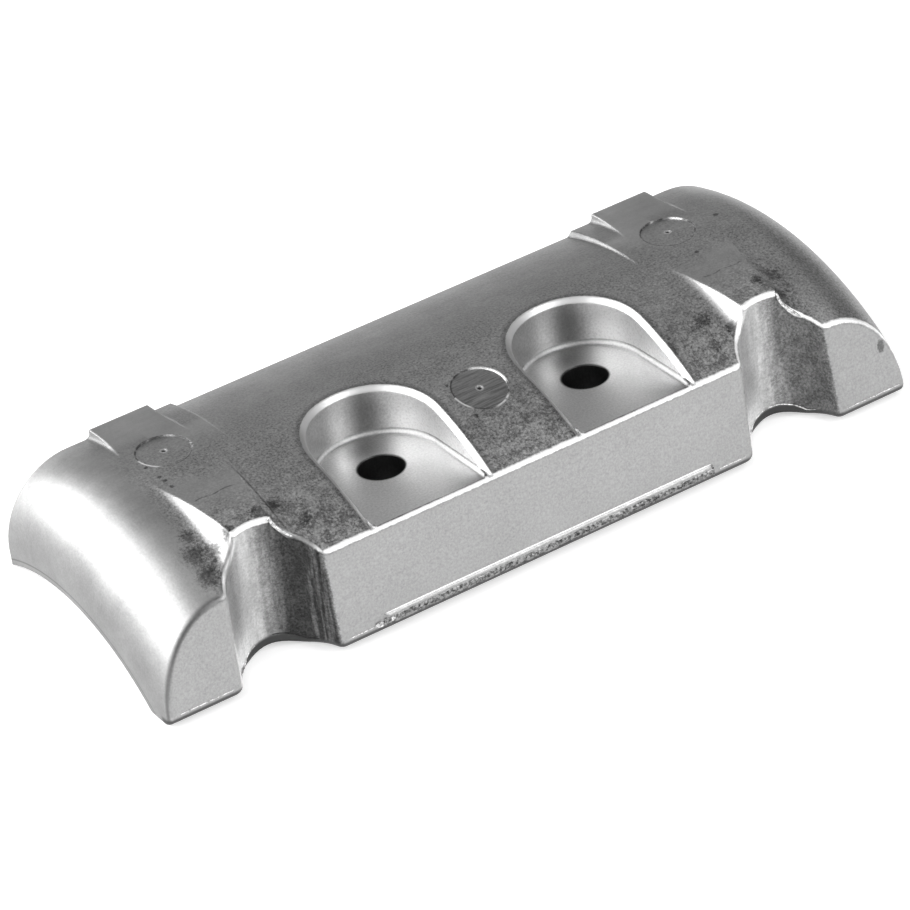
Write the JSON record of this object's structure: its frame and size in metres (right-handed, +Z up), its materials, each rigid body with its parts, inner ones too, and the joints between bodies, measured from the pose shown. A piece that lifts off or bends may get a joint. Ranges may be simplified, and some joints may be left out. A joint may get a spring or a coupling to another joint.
{
  "type": "sacrificial anode",
  "caption": "Saddle shaped sacrificial anode bar, bolted through counterbored pockets, with drafted ends, raised pads and grooves in its front face.",
  "frame": {"origin": "midway between the two bolt holes, on the floors of their pockets", "axes": "+X along the bar, +Y towards its back, away from the grooves, +Z up along the bolts, towards their heads"},
  "size_m": [0.158, 0.0536, 0.0295],
  "materials": {
    "cast_aluminium": "as cast, bright satin with fine grain"
  },
  "bodies": {
    "root": {"anode_casting": "cast_aluminium"}
  },
  "joints": []
}
